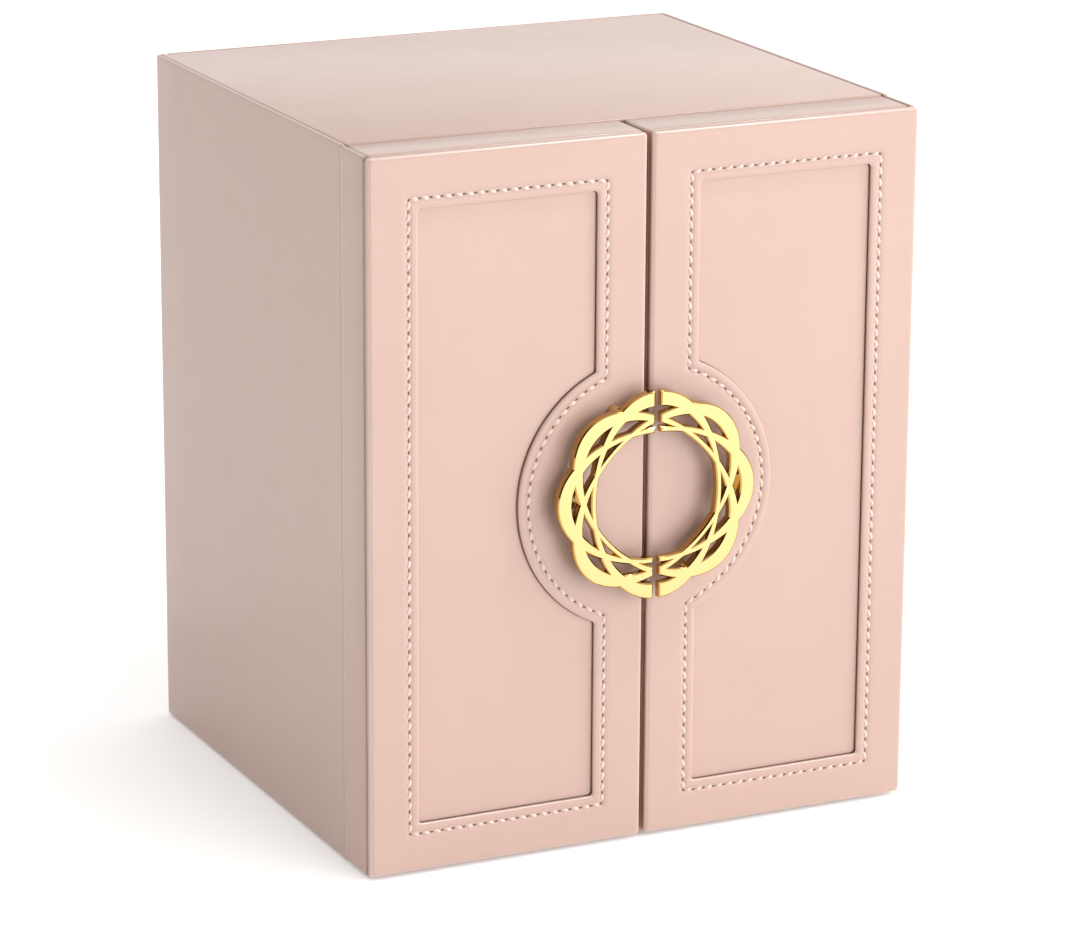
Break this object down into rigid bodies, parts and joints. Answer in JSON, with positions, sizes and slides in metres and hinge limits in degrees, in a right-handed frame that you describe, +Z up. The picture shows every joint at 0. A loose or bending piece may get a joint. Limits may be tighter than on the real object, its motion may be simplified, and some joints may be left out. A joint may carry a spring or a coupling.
{
  "type": "jewellery chest",
  "caption": "Leather-covered jewellery chest: leather-hinged doors with sunk stitched panels and a split ring handle open on a stack of drawers, with hooks and pockets in the doors.",
  "frame": {"origin": "centre of the base's underside, midway across the body from its back to the door fronts", "axes": "+Z up, -Y out of the doors, +X to the right as seen from the front"},
  "size_m": [0.23, 0.224, 0.28],
  "materials": {
    "leather": "pale pink embossed leather, satin",
    "panel_leather": "pale pink embossed leather, satin",
    "board": "fibreboard, lined with thin suede",
    "felt": "pressed felt",
    "velvet": "short-pile velvet",
    "gilt": "polished gilt casting",
    "magnet": "nickel-plated magnet"
  },
  "bodies": {
    "carcass": {"bottom_board": "board", "top_board": "board", "left_side_board": "board", "right_side_board": "board", "back_board": "board", "shelf_1": "board", "shelf_2": "board", "shelf_3": "board", "shelf_4": "board", "top_leather": "leather", "left_side_leather": "leather", "right_side_leather": "leather", "back_leather": "leather", "front_trim": "leather", "base_felt": "felt", "carcass_magnets": "magnet"},
    "left_door": {"left_door_front_leather": "leather", "left_door_recess_panel": "panel_leather", "left_door_board": "board", "left_door_rim_rails": "board", "left_door_edge_leather": "leather", "left_door_lining": "velvet", "left_door_hook_rail": "velvet", "left_door_hooks": "gilt", "left_door_pocket": "velvet", "left_door_magnets": "magnet", "left_handle": "gilt", "left_handle_posts": "gilt"},
    "right_door": {"right_door_front_leather": "leather", "right_door_recess_panel": "panel_leather", "right_door_board": "board", "right_door_rim_rails": "board", "right_door_edge_leather": "leather", "right_door_lining": "velvet", "right_door_hook_rail": "velvet", "right_door_hooks": "gilt", "right_door_pocket": "velvet", "right_door_magnets": "magnet", "right_handle": "gilt", "right_handle_posts": "gilt"},
    "drawer_1": {"drawer_1_front": "leather", "drawer_1_box": "board", "drawer_1_knob": "gilt", "drawer_1_ring_rolls": "velvet"},
    "drawer_2": {"drawer_2_front": "leather", "drawer_2_box": "board", "drawer_2_knob": "gilt", "drawer_2_dividers": "velvet"},
    "drawer_3": {"drawer_3_front": "leather", "drawer_3_box": "board", "drawer_3_knob": "gilt", "drawer_3_dividers": "velvet"},
    "drawer_4": {"drawer_4_front": "leather", "drawer_4_box": "board", "drawer_4_knob": "gilt", "drawer_4_divider": "velvet"},
    "drawer_5": {"drawer_5_front": "leather", "drawer_5_box": "board", "drawer_5_knob": "gilt", "drawer_5_pillows": "velvet"}
  },
  "joints": [
    {"name": "left_door_hinge", "type": "hinge", "parent": "carcass", "child": "left_door", "pos_m": [-0.1153, -0.0826, 0.14], "axis": [0, 0, -1], "range_deg": [0, 150]},
    {"name": "right_door_hinge", "type": "hinge", "parent": "carcass", "child": "right_door", "pos_m": [0.1153, -0.0826, 0.14], "axis": [0, 0, 1], "range_deg": [0, 150]},
    {"name": "drawer_1_slide", "type": "slide", "parent": "carcass", "child": "drawer_1", "axis": [0, -1, 0], "range_m": [0, 0.11]},
    {"name": "drawer_2_slide", "type": "slide", "parent": "carcass", "child": "drawer_2", "axis": [0, -1, 0], "range_m": [0, 0.11]},
    {"name": "drawer_3_slide", "type": "slide", "parent": "carcass", "child": "drawer_3", "axis": [0, -1, 0], "range_m": [0, 0.11]},
    {"name": "drawer_4_slide", "type": "slide", "parent": "carcass", "child": "drawer_4", "axis": [0, -1, 0], "range_m": [0, 0.11]},
    {"name": "drawer_5_slide", "type": "slide", "parent": "carcass", "child": "drawer_5", "axis": [0, -1, 0], "range_m": [0, 0.11]}
  ],
  "couplings": [
    {"joint": "right_door_hinge", "follows": "left_door_hinge", "ratio": 1},
    {"joint": "drawer_1_slide", "follows": "left_door_hinge", "m_per_rad": 0.042},
    {"joint": "drawer_2_slide", "follows": "left_door_hinge", "m_per_rad": 0.042},
    {"joint": "drawer_3_slide", "follows": "left_door_hinge", "m_per_rad": 0.042},
    {"joint": "drawer_4_slide", "follows": "left_door_hinge", "m_per_rad": 0.042},
    {"joint": "drawer_5_slide", "follows": "left_door_hinge", "m_per_rad": 0.042}
  ]
}
